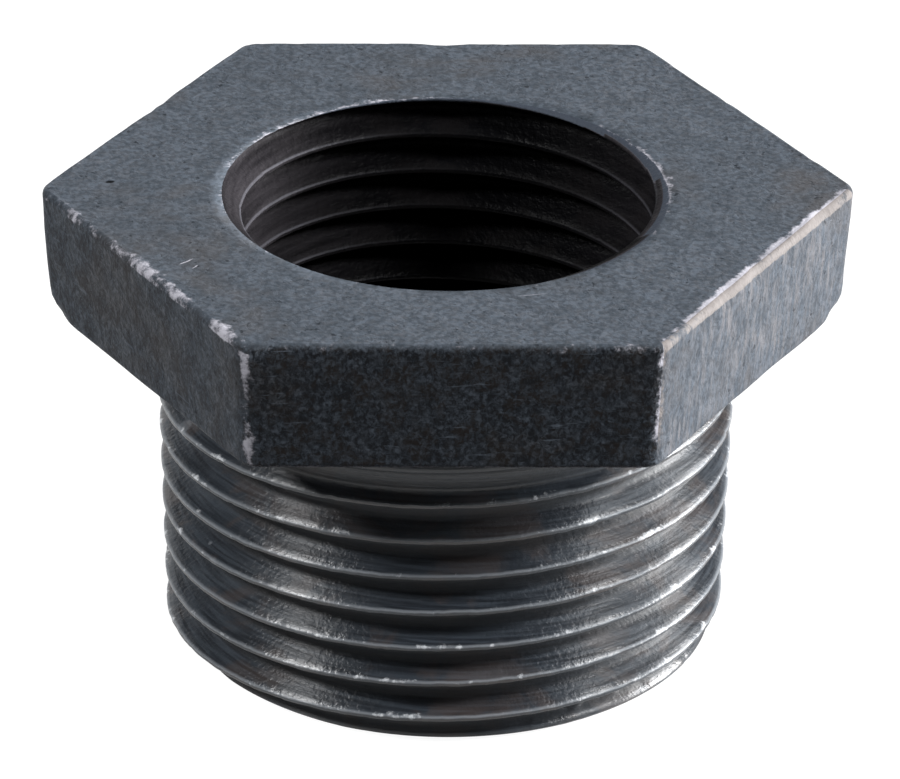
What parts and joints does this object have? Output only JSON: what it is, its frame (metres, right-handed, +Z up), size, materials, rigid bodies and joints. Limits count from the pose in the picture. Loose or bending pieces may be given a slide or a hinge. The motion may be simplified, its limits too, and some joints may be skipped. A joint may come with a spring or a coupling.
{
  "type": "hex bushing",
  "caption": "Threaded reducing bushing for pipe: a short hex head on a tapered threaded shank, with a parallel thread tapped through its bore, to join a smaller pipe to a larger socket.",
  "frame": {"origin": "centre of the shank's end face, on the axis of the bore", "axes": "+Z up the bore from the shank to the hex head; two flats of the hex face -Y and +Y, two corners point along -X and +X"},
  "size_m": [0.0366, 0.032, 0.0217],
  "materials": {
    "black_iron": "satin"
  },
  "bodies": {
    "root": {"hex_bushing": "black_iron"}
  },
  "joints": []
}
